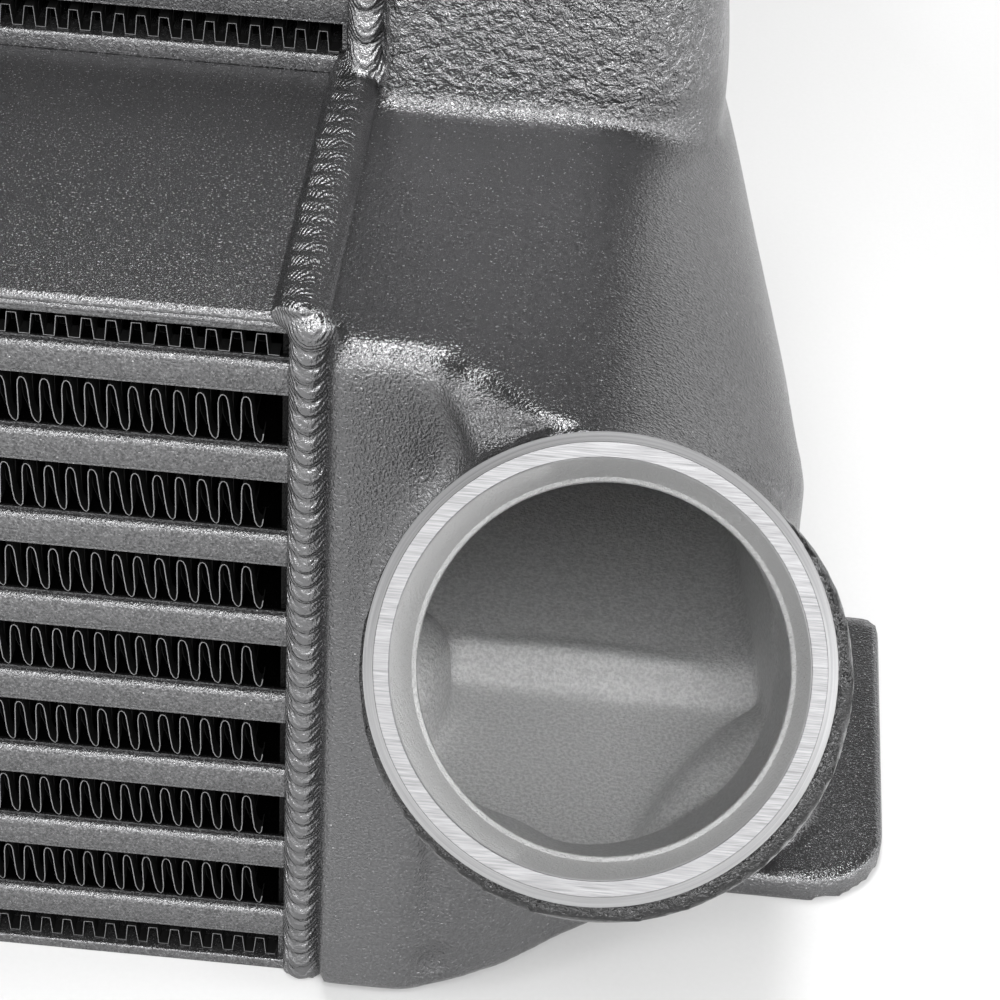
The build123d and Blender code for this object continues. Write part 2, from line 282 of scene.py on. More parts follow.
def coated_casting():
    """Sand-cast aluminium under a satin dark grey coat: pebbled grain that glints, deep grey where flat."""
    material, tree, shader, place = blank("coated_sand_casting")
    shader.inputs["Metallic"].default_value = COATED
    # the upper half was cast against a coarser mould
    height = add(tree, "ShaderNodeSeparateXYZ", {0: place}).outputs["Z"]
    mould = add(tree, "ShaderNodeMapRange", {0: height, 1: LEDGE - 1 * MM, 2: LEDGE + 5 * MM, 3: 0.0, 4: 1.0})
    # sand grains of about 0.5 mm, swollen by the coat
    grain = add(tree, "ShaderNodeTexNoise",
                {"Vector": place, "Scale": 2000, "Detail": 2, "Roughness": 0.5, "Distortion": 0.3})
    # coarse mould skin on the upper half, lumps of about 2 mm
    skin = add(tree, "ShaderNodeTexNoise",
               {"Vector": place, "Scale": 480, "Detail": 3, "Roughness": 0.6, "Distortion": 0.5})
    share = add(tree, "ShaderNodeMath", {0: skin.outputs[0], 1: mould.outputs[0]}, operation="MULTIPLY")
    relief = add(tree, "ShaderNodeMath", {0: share.outputs[0], 1: 5.5, 2: grain.outputs[0]},
                 operation="MULTIPLY_ADD")
    bump = add(tree, "ShaderNodeBump", {"Height": relief.outputs[0], "Distance": 0.38 * MM,
                                        "Strength": levelled(tree, 0.45)})
    tree.links.new(bump.outputs[0], shader.inputs["Normal"])
    # thin coat on the grains' tops, thick in the pits, and a slow drift over some 40 mm
    top = add(tree, "ShaderNodeMapRange", {0: grain.outputs[0], 1: 0.32, 2: 0.68})
    grains = add(tree, "ShaderNodeMix", {0: top.outputs[0], 6: linear("#606061"), 7: linear("#767677")},
                 data_type="RGBA")
    drift = add(tree, "ShaderNodeTexNoise", {"Vector": place, "Scale": 25, "Detail": 2})
    thin = add(tree, "ShaderNodeMath", {0: mould.outputs[0], 1: 0.3, 2: 0.85}, operation="MULTIPLY_ADD")
    thick = add(tree, "ShaderNodeMath", {0: mould.outputs[0], 1: 0.3, 2: 1.15}, operation="MULTIPLY_ADD")
    cloud = add(tree, "ShaderNodeMapRange", {0: drift.outputs[0], 3: thin.outputs[0], 4: thick.outputs[0]})
    tone = add(tree, "ShaderNodeMix", {0: 1.0, 6: grains.outputs[2], 7: cloud.outputs[0]}, data_type="RGBA",
               blend_type="MULTIPLY")
    # the rough lip round the neck's turned ring, from about 9 mm behind the mouth onwards, is darkened to
    # near black
    depth = out_of_mouth(tree, place)
    lip = add(tree, "ShaderNodeMapRange", {0: depth, 1: -10.5 * MM, 2: -8.8 * MM, 3: 0.0, 4: 0.85})
    coat = flecked(tree, place, tone.outputs[2])
    colour = add(tree, "ShaderNodeMix", {0: lip.outputs[0], 6: coat, 7: linear("#2c2c2c")}, data_type="RGBA")
    tree.links.new(colour.outputs[2], shader.inputs["Base Color"])
    sheen = add(tree, "ShaderNodeMapRange", {0: grain.outputs[0], 3: 0.19, 4: 0.31})
    tree.links.new(sheen.outputs[0], shader.inputs["Roughness"])
    return material


def bare_casting():
    """Sand-cast aluminium left bare inside the neck and tank: pale, matt and gritty."""
    material, tree, shader, place = blank("bare_sand_casting")
    shader.inputs["Metallic"].default_value = 0.3
    # sand grains of about 0.7 mm with fine grit on them
    grain = add(tree, "ShaderNodeTexNoise", {"Vector": place, "Scale": 1400, "Detail": 4, "Roughness": 0.65})
    bump = add(tree, "ShaderNodeBump", {"Height": grain.outputs[0], "Strength": 0.9, "Distance": 0.5 * MM})
    tree.links.new(bump.outputs[0], shader.inputs["Normal"])
    speckle = add(tree, "ShaderNodeMapRange", {0: grain.outputs[0], 1: 0.38, 2: 0.62})
    tone = add(tree, "ShaderNodeMix", {0: speckle.outputs[0], 6: linear("#dcdcdc"), 7: linear("#fafafa")},
               data_type="RGBA")
    # the turned seat of the bore is skimmed darker than the tank's skin
    depth = out_of_mouth(tree, place)
    seat = add(tree, "ShaderNodeMapRange", {0: depth, 1: -17 * MM, 2: -15 * MM, 3: 0.0, 4: 1.0})
    colour = add(tree, "ShaderNodeMix", {0: seat.outputs[0], 6: tone.outputs[2], 7: linear("#9e9e9e")},
                 data_type="RGBA")
    tree.links.new(colour.outputs[2], shader.inputs["Base Color"])
    sheen = add(tree, "ShaderNodeMapRange", {0: grain.outputs[0], 3: 0.38, 4: 0.55})
    tree.links.new(sheen.outputs[0], shader.inputs["Roughness"])
    return material


def coated_bar(name, faces=None):
    """Blasted aluminium under the same satin coat: even, sand-fine grain.

    Behind the two faces, where given, the colour falls to near black: painted shade deep in the core between
    the fins.
    """
    material, tree, shader, place = blank(name)
    shader.inputs["Metallic"].default_value = COATED
    # blasting grit marks of about 0.4 mm
    grit = add(tree, "ShaderNodeTexNoise", {"Vector": place, "Scale": 2600, "Detail": 2, "Roughness": 0.6})
    bump = add(tree, "ShaderNodeBump", {"Height": grit.outputs[0], "Distance": 0.28 * MM,
                                        "Strength": levelled(tree, 0.5)})
    tree.links.new(bump.outputs[0], shader.inputs["Normal"])
    top = add(tree, "ShaderNodeMapRange", {0: grit.outputs[0], 1: 0.3, 2: 0.7})
    tone = add(tree, "ShaderNodeMix", {0: top.outputs[0], 6: linear("#4c4c4d"), 7: linear("#868687")},
               data_type="RGBA")
    colour = flecked(tree, place, tone.outputs[2])
    # painted shade: from about 1 to 2 mm behind either face the bars turn near black, standing for the shade
    # inside the core
    if faces:
        depth = add(tree, "ShaderNodeSeparateXYZ", {0: place}).outputs["Y"]
        front = add(tree, "ShaderNodeMapRange", {0: depth, 1: faces[0] + 0.9 * MM, 2: faces[0] + 2 * MM})
        back = add(tree, "ShaderNodeMapRange", {0: depth, 1: faces[1] - 0.9 * MM, 2: faces[1] - 2 * MM})
        deep = add(tree, "ShaderNodeMath", {0: front.outputs[0], 1: back.outputs[0]}, operation="MULTIPLY")
        dark = add(tree, "ShaderNodeMix", {0: deep.outputs[0], 6: colour, 7: linear("#161616")},
                   data_type="RGBA")
        colour = dark.outputs[2]
    tree.links.new(colour, shader.inputs["Base Color"])
    sheen = add(tree, "ShaderNodeMapRange", {0: grit.outputs[0], 3: 0.2, 4: 0.31})
    tree.links.new(sheen.outputs[0], shader.inputs["Roughness"])
    return material


RIPPLE = 1.1 * MM           # from one frozen pool edge to the next
RIPPLE_BOW = 0.16 / MM      # 1 mm off the bead's middle an edge lies 0.16 mm ahead, growing as the square


def coated_weld():
    """Arc-welded aluminium under the satin coat: frozen ripples, glossier than the casting."""
    material, tree, shader, place = blank("coated_weld")
    shader.inputs["Metallic"].default_value = COATED
    # frozen pool edges: curved lines bowed across the bead
    split = add(tree, "ShaderNodeSeparateXYZ", {0: place})
    run = add(tree, "ShaderNodeMath", {0: split.outputs["Z"], 1: split.outputs["Y"]}, operation="SUBTRACT")
    side = add(tree, "ShaderNodeMath", {0: split.outputs["X"]}, operation="ABSOLUTE")
    across = add(tree, "ShaderNodeMath", {0: side.outputs[0], 1: END}, operation="SUBTRACT")
    square = add(tree, "ShaderNodeMath", {0: across.outputs[0], 1: across.outputs[0]}, operation="MULTIPLY")
    bow = add(tree, "ShaderNodeMath", {0: square.outputs[0], 1: -RIPPLE_BOW, 2: run.outputs[0]},
              operation="MULTIPLY_ADD")
    wander = add(tree, "ShaderNodeTexNoise", {"Vector": place, "Scale": 300, "Detail": 2})
    drawn = add(tree, "ShaderNodeMath", {0: wander.outputs[0], 1: 1.2 * MM, 2: bow.outputs[0]},
                operation="MULTIPLY_ADD")
    beat = add(tree, "ShaderNodeMath", {0: drawn.outputs[0], 1: math.tau / RIPPLE}, operation="MULTIPLY")
    wave = add(tree, "ShaderNodeMath", {0: beat.outputs[0]}, operation="SINE")
    grit = add(tree, "ShaderNodeTexNoise", {"Vector": place, "Scale": 2200, "Detail": 2})
    relief = add(tree, "ShaderNodeMath", {0: wave.outputs[0], 1: 0.22, 2: grit.outputs[0]},
                 operation="MULTIPLY_ADD")
    bump = add(tree, "ShaderNodeBump", {"Height": relief.outputs[0], "Strength": 1.0, "Distance": 0.2 * MM})
    tree.links.new(bump.outputs[0], shader.inputs["Normal"])
    tone = add(tree, "ShaderNodeMix", {0: wander.outputs[0], 6: linear("#646465"), 7: linear("#7c7c7d")},
               data_type="RGBA")
    tree.links.new(tone.outputs[2], shader.inputs["Base Color"])
    shader.inputs["Roughness"].default_value = 0.2
    return material


def fin_sheet():
    """Rolled aluminium sheet, sheared: bright bare cut edges at the blocks' faces; the faces, and the cut
    edges further in, are painted near black as shade between the folds.
    """
    material, tree, shader, place = blank("folded_fin_sheet")
    shader.inputs["Metallic"].default_value = 0.6
    shader.inputs["Roughness"].default_value = 0.5
    across = add(tree, "ShaderNodeNewGeometry").outputs["Normal"]
    facing = add(tree, "ShaderNodeSeparateXYZ", {0: across}).outputs["Y"]
    size = add(tree, "ShaderNodeMath", {0: facing}, operation="ABSOLUTE")
    cut = add(tree, "ShaderNodeMapRange", {0: size.outputs[0], 1: 0.6, 2: 0.8, 3: 0.0, 4: 1.0})
    depth = add(tree, "ShaderNodeSeparateXYZ", {0: place}).outputs["Y"]
    # cut edges stay bright at the blocks' faces; more than about 1.2 mm in they take the faces' near black,
    # painted shade inside the core
    near = add(tree, "ShaderNodeMath", {0: depth, 1: FRONT + STRIP_IN, 2: 1.2 * MM}, operation="COMPARE")
    step = add(tree, "ShaderNodeMath", {0: depth, 1: UPPER_FRONT + STRIP_IN, 2: 1.2 * MM},
               operation="COMPARE")
    far = add(tree, "ShaderNodeMath", {0: depth, 1: BACK - STRIP_IN, 2: 1.2 * MM}, operation="COMPARE")
    either = add(tree, "ShaderNodeMath", {0: near.outputs[0], 1: step.outputs[0]}, operation="MAXIMUM")
    outer = add(tree, "ShaderNodeMath", {0: either.outputs[0], 1: far.outputs[0]}, operation="MAXIMUM")
    bright = add(tree, "ShaderNodeMath", {0: cut.outputs[0], 1: outer.outputs[0]}, operation="MULTIPLY")
    # painted shade: the sheet's faces are near black for the shade in the channels between the folds; the
    # bright cut edges are bare metal
    colour = add(tree, "ShaderNodeMix", {0: bright.outputs[0], 6: linear("#202020"), 7: linear("#868687")},
                 data_type="RGBA")
    grain = add(tree, "ShaderNodeTexNoise", {"Vector": place, "Scale": 1500, "Detail": 2})
    shade = add(tree, "ShaderNodeMapRange", {0: grain.outputs[0], 3: 0.6, 4: 1.2})
    tint = add(tree, "ShaderNodeMix", {0: 1.0, 6: colour.outputs[2], 7: shade.outputs[0]}, data_type="RGBA",
               blend_type="MULTIPLY")
    tree.links.new(tint.outputs[2], shader.inputs["Base Color"])
    return material


def bare_sheet():
    """Rolled aluminium sheet inside the tubes, never coated."""
    material, tree, shader, place = blank("bare_turbulator_sheet")
    shader.inputs["Metallic"].default_value = 1.0
    rolled = add(tree, "ShaderNodeMapping", {"Vector": place, "Scale": (60, 2500, 2500)})
    marks = add(tree, "ShaderNodeTexNoise", {"Vector": rolled.outputs[0], "Scale": 1.0, "Detail": 2})
    tone = add(tree, "ShaderNodeMix", {0: marks.outputs[0], 6: linear("#b4b4b6"), 7: linear("#c6c6c8")},
               data_type="RGBA")
    tree.links.new(tone.outputs[2], shader.inputs["Base Color"])
    sheen = add(tree, "ShaderNodeMapRange", {0: marks.outputs[0], 3: 0.25, 4: 0.4})
    tree.links.new(sheen.outputs[0], shader.inputs["Roughness"])
    return material


def turned_metal(side):
    """Bare cast aluminium, faced and bored on a lathe: bright, with fine concentric tool marks."""
    material, tree, shader, place = blank(f"turned_neck_{side}")
    shader.inputs["Metallic"].default_value = 0.85
    sign = 1 if side == "right" else -1
    centre = (sign * MOUTH.x, MOUTH.y, MOUTH.z)
    # the pattern's own Z runs along the neck
    local = add(tree, "ShaderNodeMapping",
                {"Vector": place, "Location": centre, "Rotation": (math.pi / 2 - PITCH, 0, 0)},
                vector_type="TEXTURE")
    split = add(tree, "ShaderNodeSeparateXYZ", {0: local.outputs[0]})
    flat = add(tree, "ShaderNodeCombineXYZ", {0: split.outputs[0], 1: split.outputs[1], 2: 0.0})
    radius = add(tree, "ShaderNodeVectorMath", {0: flat.outputs[0]}, operation="LENGTH")
    turn = add(tree, "ShaderNodeMath", {0: split.outputs[1], 1: split.outputs[0]}, operation="ARCTAN2")
    slow = add(tree, "ShaderNodeMath", {0: turn.outputs[0], 1: 0.9}, operation="MULTIPLY")
    deep = add(tree, "ShaderNodeMath", {0: split.outputs[2], 1: 2200}, operation="MULTIPLY")
    wide = add(tree, "ShaderNodeMath", {0: radius.outputs["Value"], 1: 2200}, operation="MULTIPLY")
    # tool marks about 0.45 mm apart, each long round the neck
    track = add(tree, "ShaderNodeCombineXYZ", {0: wide.outputs[0], 1: slow.outputs[0], 2: deep.outputs[0]})
    marks = add(tree, "ShaderNodeTexNoise",
                {"Vector": track.outputs[0], "Scale": 1.0, "Detail": 3, "Roughness": 0.7})
    # the face was skimmed by a wide cutter: straight scratches about 0.25 mm apart, some 7 mm long,
    # which lean the other way low on the core's side
    long_scratch = (140, 4200, 1)
    little, steep = (0, 0, math.radians(8)), (0, 0, sign * math.radians(-58))
    level = add(tree, "ShaderNodeMapping",
                {"Vector": flat.outputs[0], "Rotation": little, "Scale": long_scratch})
    slant = add(tree, "ShaderNodeMapping",
                {"Vector": flat.outputs[0], "Rotation": steep, "Scale": long_scratch})
    scratch = add(tree, "ShaderNodeTexNoise",
                  {"Vector": level.outputs[0], "Scale": 1.0, "Detail": 2, "Roughness": 0.6})
    cross = add(tree, "ShaderNodeTexNoise",
                {"Vector": slant.outputs[0], "Scale": 1.0, "Detail": 2, "Roughness": 0.6})
    corner = add(tree, "ShaderNodeVectorMath", {0: flat.outputs[0], 1: (-sign * 0.7, -0.7, 0.0)},
                 operation="DOT_PRODUCT")
    share = add(tree, "ShaderNodeMapRange", {0: corner.outputs["Value"], 1: 0.0, 2: 20 * MM})
    skim = add(tree, "ShaderNodeMix", {0: share.outputs[0], 2: scratch.outputs[0], 3: cross.outputs[0]})
    # only the flat face was skimmed; the chamfer keeps its turned, paler and rougher skin
    face = add(tree, "ShaderNodeMath", {0: split.outputs[2], 1: 0.0, 2: 0.12 * MM}, operation="COMPARE")
    lines = add(tree, "ShaderNodeMix", {0: face.outputs[0], 2: marks.outputs[0], 3: skim.outputs[0]})
    tone = add(tree, "ShaderNodeMapRange", {0: lines.outputs[0], 1: 0.3, 2: 0.7})
    bright = add(tree, "ShaderNodeMix", {0: tone.outputs[0], 6: linear("#5e5e5f"), 7: linear("#7e7e7f")},
                 data_type="RGBA")
    plain = add(tree, "ShaderNodeMix", {0: tone.outputs[0], 6: linear("#929293"), 7: linear("#aeaeaf")},
                data_type="RGBA")
    colour = add(tree, "ShaderNodeMix", {0: face.outputs[0], 6: plain.outputs[2], 7: bright.outputs[2]},
                 data_type="RGBA")
    tree.links.new(colour.outputs[2], shader.inputs["Base Color"])
    sheen = add(tree, "ShaderNodeMapRange", {0: face.outputs[0], 3: 0.6, 4: 0.48})
    tree.links.new(sheen.outputs[0], shader.inputs["Roughness"])
    bump = add(tree, "ShaderNodeBump", {"Height": lines.outputs[0], "Strength": 0.4, "Distance": 0.05 * MM})
    tree.links.new(bump.outputs[0], shader.inputs["Normal"])
    return material


def paper_floor():
    """Seamless white paper: it keeps the part's shadow, and further out the camera sees it even white."""
    material, tree, shader, place = blank("white_paper")
    fibre = add(tree, "ShaderNodeTexNoise", {"Vector": place, "Scale": 900, "Detail": 2})
    tone = add(tree, "ShaderNodeMix", {0: fibre.outputs[0], 6: linear("#cacaca"), 7: linear("#cecece")},
               data_type="RGBA")
    tree.links.new(tone.outputs[2], shader.inputs["Base Color"])
    shader.inputs["Roughness"].default_value = 0.9
    shader.inputs["Specular IOR Level"].default_value = 0.1
    path = add(tree, "ShaderNodeLightPath")
    # nothing is added within 0.46 m of the part's middle, and past 1.15 m the sweep is full white
    away = add(tree, "ShaderNodeVectorMath", {0: place}, operation="LENGTH")
    sweep = add(tree, "ShaderNodeMapRange", {0: away.outputs["Value"], 1: 0.46, 2: 1.15, 3: 0.0, 4: 1.0})
    lift = add(tree, "ShaderNodeMath", {0: path.outputs["Is Camera Ray"], 1: sweep.outputs[0]},
               operation="MULTIPLY")
    glow = add(tree, "ShaderNodeEmission", {"Color": (1, 1, 1, 1), "Strength": lift.outputs[0]})
    both = add(tree, "ShaderNodeAddShader", {0: shader.outputs[0], 1: glow.outputs[0]})
    tree.links.new(both.outputs[0], tree.nodes["Material Output"].inputs["Surface"])
    return material


# ---- fins ------------------------------------------------------------------------------
# folds of a full row and of a half one: their run along the core, pitch, and the outer strips' height
FULL_FOLDS = (504 * MM, 3.65 * MM, 9.3 * MM)
HALF_FOLDS = (509 * MM, 4.0 * MM, 4.2 * MM)
# one fold, as shares of its pitch and of its rise
FOLD = [(0.00, 0.20), (0.00, 0.80), (0.04, 0.93), (0.12, 0.99), (0.22, 1.0), (0.33, 0.97), (0.41, 0.88),
        (0.46, 0.70), (0.53, 0.37), (0.62, 0.14), (0.74, 0.04), (0.87, 0.0), (0.96, 0.05), (1.00, 0.20)]
PLAIN_FOLD = [(0.00, 0.15), (0.00, 0.85), (0.22, 1.0), (0.41, 0.85), (0.55, 0.25), (0.8, 0.0), (1.0, 0.15)]
SQUARE_FOLD = [(0.0, 0.0), (0.1, 1.0), (0.47, 1.0), (0.57, 0.0), (1.0, 0.0)]


def fin_strip(profile, pitch, length, height, y, z, phase=0.0):
    """One folded strip of a fin row: a fold drawn once, arrayed, bent a little and given its thickness."""
    count = int(length / pitch - phase)
    left = length / 2 - count * pitch - phase * pitch
    rise = height - 2 * FIN_SEAT
    points = [(left + u * pitch, y[0], z + FIN_SEAT + v * rise) for u, v in profile]
    piece = line(points)
    edit(piece)
    bpy.ops.mesh.select_all(action="SELECT")
    bpy.ops.mesh.extrude_region_move(TRANSFORM_OT_translate={"value": (0, y[1] - y[0], 0)})
    bpy.ops.object.mode_set(mode="OBJECT")
    apply(piece, "ARRAY", use_relative_offset=False, use_constant_offset=True,
          constant_offset_displace=(pitch, 0, 0), count=count, use_merge_vertices=True,
          merge_threshold=0.01 * MM)
    apply(piece, "DISPLACE", texture=handling, direction="X", strength=0.5 * MM, texture_coords="LOCAL",
          mid_level=0.5)
    apply(piece, "SOLIDIFY", thickness=FIN_SHEET, offset=0.0)
    return piece


def fin_row(name, front, z, height):
    """A fin row: a low strip at each face, and one between them at full height, set half a fold aside."""
    inner = STRIP_IN + STRIP_DEPTH
    outer_front, outer_back = (front + STRIP_IN, front + inner), (BACK - inner, BACK - STRIP_IN)
    between = (front + inner + STRIP_GAP, BACK - inner - STRIP_GAP)
    full = height == FULL_ROW
    length, pitch, low = FULL_FOLDS if full else HALF_FOLDS
    edge_fold, inner_fold = (FOLD, PLAIN_FOLD) if full else (SQUARE_FOLD, SQUARE_FOLD)
    row = join([
        fin_strip(edge_fold, pitch, length, low, outer_front, z),
        fin_strip(inner_fold, pitch, length, height, between, z, phase=0.5),
        fin_strip(edge_fold, pitch, length, low, outer_back, z),
    ])
    clean(row, 0.0001 * MM)
    dress(row, name, fin_metal, "fin_sheet", name.replace("_folds", ""), angle=30)
    return row


def fins():
    """All fin rows: each kind in each block is modelled once and copied."""
    patterns = {}
    for block, (front, z, count) in BLOCKS.items():
        for k in range(1, count + 2):
            height = HALF_ROW if k in (1, count + 1) else FULL_ROW
            name = f"{block}_fin_{k}_folds"
            key = (block, height)
            if key not in patterns:
                patterns[key] = (fin_row(name, front, z, height), z)
            else:
                first_row, first_z = patterns[key]
                row = copied(first_row, (0, 0, z - first_z))
                dress(row, name, fin_metal, "fin_sheet", f"{block}_fin_{k}", angle=30)
            z += height + TUBE_HEIGHT


# ---- tubes and plates ----------------------------------------------------------------------
def header_pair(front, z, height):
    """Two bars that close a fin row at the tanks."""
    y = (front + HEADER_IN, BACK - HEADER_IN)
    return [brick((END - HEADER, END), y, (z, z + height)), brick((-END, HEADER - END), y, (z, z + height))]


def rounded(piece, reach, segments, test):
    """Rounds the edges whose middle and direction pass the test, in edit mode."""
    bpy.ops.mesh.select_all(action="DESELECT")
    pick(piece, "edges", test)
    bpy.ops.mesh.bevel(offset=reach, segments=segments, affect="EDGES")


def closing_bar(y, z, outer):
    """A tube's long closing bar: wide rounding on the outer top edge, a fine one below."""
    bar = brick((-END, END), y, z)
    edit(bar)
    rounded(bar, 1.15 * MM, 4, lambda m, d: abs(m.y - outer) < TOUCH and abs(m.z - z[1]) < TOUCH)
    rounded(bar, 0.3 * MM, 2, lambda m, d: abs(m.y - outer) < TOUCH and abs(m.z - z[0]) < TOUCH)
    bpy.ops.object.mode_set(mode="OBJECT")
    return bar


def tube(front, z, row):
    """A charge-air tube: closing bars, the two brazing sheets and the header bars on it."""
    bar_z = (z + SHEET, z + TUBE_HEIGHT - SHEET)
    pieces = [closing_bar((front, front + BAR_DEPTH), bar_z, front),
              closing_bar((BACK - BAR_DEPTH, BACK), bar_z, BACK)]
    # the lower sheet ends just behind the bars' faces, the upper one where their rounding starts
    for low, inset in ((z, 0.15 * MM), (z + TUBE_HEIGHT - SHEET, 1.3 * MM)):
        pieces.append(brick((-END, END), (front + inset, BACK - inset), (low, low + SHEET)))
    return join(pieces + header_pair(front, z + TUBE_HEIGHT, row))


def tubes():
    """All tubes: the one under a full row and the last are modelled once in each block and copied."""
    patterns = {}
    for block, (front, first, count) in BLOCKS.items():
        z = first + HALF_ROW
        for k in range(1, count + 1):
            row = FULL_ROW if k < count else HALF_ROW
            key = (block, row)
            if key in patterns:
                piece = copied(patterns[key][0], (0, 0, z - patterns[key][1]))
            else:
                piece = tube(front, z, row)
                patterns[key] = (piece, z)
            dress(piece, f"{block}_tube_{k}_bars", tube_metal[block], "coated_core", f"{block}_tube_{k}")
            z += TUBE_HEIGHT + row


def plate(name, front, z, thick, row=0.0, edge=0.7 * MM):
    """An end plate with its long edges broken, and header bars where a fin row stands on it."""
    slab = brick((-END, END), (front, BACK), (z, z + thick))
    edit(slab)
    rounded(slab, edge, 3, lambda m, d: abs(d.x) > END and m.z > z + thick / 2)
    rounded(slab, 0.25 * MM, 2, lambda m, d: abs(d.x) > END and m.z < z + 10 * TOUCH)
    bpy.ops.object.mode_set(mode="OBJECT")
    pieces = [slab]
    if row:
        pieces += header_pair(front, z + thick, row)
    dress(join(pieces), name + "_sheet", bar_metal, "coated_core", name)


# half of the ledge plate's section: in from its face, then down from its top, in millimetres
LIP = (
    (1.3, 0.0), (0.55, 0.15), (0.15, 0.5), (0.0, 0.95), (0.1, 1.25),       # rolled top edge
    (0.35, 1.45), (0.1, 1.7),                                              # groove
    (0.0, 2.0), (0.1, 2.35), (0.4, 2.6), (0.4, 3.4), (0.6, 3.6),           # lower roll and its foot
    (1.7, 3.6), (1.9, 2.2),                                                # back to the thin sheet
)


def ledge_plate():
    """The deep block's top plate: a thin sheet with a rolled, grooved lip along each face."""
    front = [(-END, FRONT + y * MM, LEDGE - z * MM) for y, z in LIP]
    back = [(-END, BACK - y * MM, LEDGE - z * MM) for y, z in reversed(LIP)]
    sheet = line(front + back + front[:1])
    edit(sheet)
    bpy.ops.mesh.select_all(action="SELECT")
    bpy.ops.mesh.remove_doubles(threshold=0.01 * MM)
    bpy.ops.mesh.edge_face_add()
    bpy.ops.mesh.extrude_region_move(TRANSFORM_OT_translate={"value": (2 * END, 0, 0)})
    bpy.ops.object.mode_set(mode="OBJECT")
    clean(sheet)
    dress(sheet, "ledge_plate_sheet", bar_metal, "coated_core", "ledge_plate", angle=50)


def plates():
    plate("bottom_plate", FRONT, 0, END_PLATE, HALF_ROW, edge=0.35 * MM)
    ledge_plate()
    plate("seam_plate", UPPER_FRONT, LEDGE, SEAM_PLATE, HALF_ROW)
    plate("top_plate", UPPER_FRONT, TOP - END_PLATE, END_PLATE)


# ---- welds ---------------------------------------------------------------------------------
WELD_CELL = 0.5 * MM        # grid on which the pools melt together
# each kind of pool, in millimetres: half length, half thickness, lift, lean in degrees, root's half height
POOL = {
    "deep": (2.9, 1.05, 1.05, 30, 1.9),
    "faint": (3.0, 1.4, 1.45, 14, 2.75),
    "low": (3.4, 1.3, 0.95, 12, 1.9),
    "broad": (5.6, 1.2, 1.05, 28, 1.9),
}
# each straight run: start, end, outward way, then shift along X, half width and spacing in millimetres,
# and its kind of pool
RUNS = (
    ((FRONT, LEDGE), (FRONT, 0), (0, -1, 0), -0.2, 3.7, 3.3, "deep"),
    ((UPPER_FRONT, LEDGE), (FRONT, LEDGE), (0, 0, 1), -2.2, 4.7, 4.0, "faint"),
    ((UPPER_FRONT, TOP), (UPPER_FRONT, LEDGE), (0, -1, 0), -0.2, 3.8, 7.0, "broad"),
    ((BACK, TOP), (UPPER_FRONT, TOP), (0, 0, 1), -0.2, 3.7, 3.3, "low"),
    ((BACK, TOP), (BACK, 0), (0, 1, 0), -0.2, 3.7, 3.3, "deep"),
)
# loose pools at the corners: Y and Z, then shift along X and half sizes in millimetres
BLOBS = (
    (FRONT + 1.2 * MM, LEDGE - 0.3 * MM, -1.6, (4.8, 2.8, 2.7)),
    (FRONT - 0.1 * MM, LEDGE - 1.9 * MM, 0.0, (4.3, 3.0, 3.5)),
    (FRONT - 0.4 * MM, LEDGE - 4.0 * MM, 0.2, (3.1, 2.0, 3.0)),
    (UPPER_FRONT + 0.6 * MM, LEDGE + 0.4 * MM, 0.4, (7.0, 4.6, 5.6)),
    (UPPER_FRONT - 7.5 * MM, LEDGE + 0.2 * MM, -1.8, (4.6, 6.0, 2.3)),
)


def cut_below(piece, height, reach=0.1 * MM):
    """Takes off what lies below a height and closes the cut."""
    edit(piece)
    bpy.ops.mesh.select_all(action="SELECT")
    bpy.ops.mesh.bisect(plane_co=(0, 0, height), plane_no=(0, 0, 1), use_fill=True, clear_inner=True,
                        threshold=reach)
    bpy.ops.object.mode_set(mode="OBJECT")


def ball(scale):
    """A sphere primitive flattened to three half sizes in millimetres."""
    clear_selection()
    bpy.ops.mesh.primitive_uv_sphere_add(segments=24, ring_count=12, radius=MM)
    pool = bpy.context.object
    pool.scale = scale
    settle(pool)
    return pool


def placed(piece, at, across, along, out, lean=0.0):
    """Stands a piece made about the origin on a weld run."""
    stand = Matrix((across, along, out)).transposed().to_4x4()
    piece.matrix_world = Matrix.Translation(at) @ stand @ Matrix.Rotation(math.radians(lean), 4, "X")
    settle(piece)
    return piece


def bead():
    """The right bead: leaning pools along each edge, melted together by a fine remesh."""
    rng = random.Random(41)
    pools = []
    for (y0, z0), (y1, z1), out, shift, half, spacing, pool in RUNS:
        x = END + shift * MM
        start, stop, out = Vector((x, y0, z0)), Vector((x, y1, z1)), Vector(out)
        long, thick, lift, lean, high = POOL[pool]
        along, length = (stop - start).normalized(), (stop - start).length
        across = along.cross(out)
        clear_selection()
        bpy.ops.mesh.primitive_cylinder_add(vertices=40, radius=MM, depth=1)
        root = bpy.context.object
        root.scale = (half, high, length)
        settle(root)
        pools.append(placed(root, (start + stop) / 2, across, -out, along))
        gone = spacing / 2 * MM
        while gone < length:
            size = (half * rng.uniform(0.72, 0.84), long, thick * rng.uniform(0.94, 1.06))
            sway = across * rng.uniform(0.1, 0.55) * MM
            at = start + along * gone + out * lift * MM + sway
            pools.append(placed(ball(size), at, across, along, out, lean * rng.uniform(0.85, 1.12)))
            gone += spacing * MM * rng.uniform(0.85, 1.15)
    for y, z, shift, size in BLOBS:
        blob = ball(size)
        blob.location = (END + shift * MM, y, z)
        settle(blob)
        pools.append(blob)
    weld = join(pools)
    apply(weld, "REMESH", mode="VOXEL", voxel_size=WELD_CELL)
    cut_below(weld, 0)
    return weld


def beads():
    right = bead()
    left = mirrored(right)
    dress(right, "right_weld_ripples", weld_metal, "coated_weld", "right_weld_bead", angle=80)
    dress(left, "left_weld_ripples", weld_metal, "coated_weld", "left_weld_bead", angle=80)


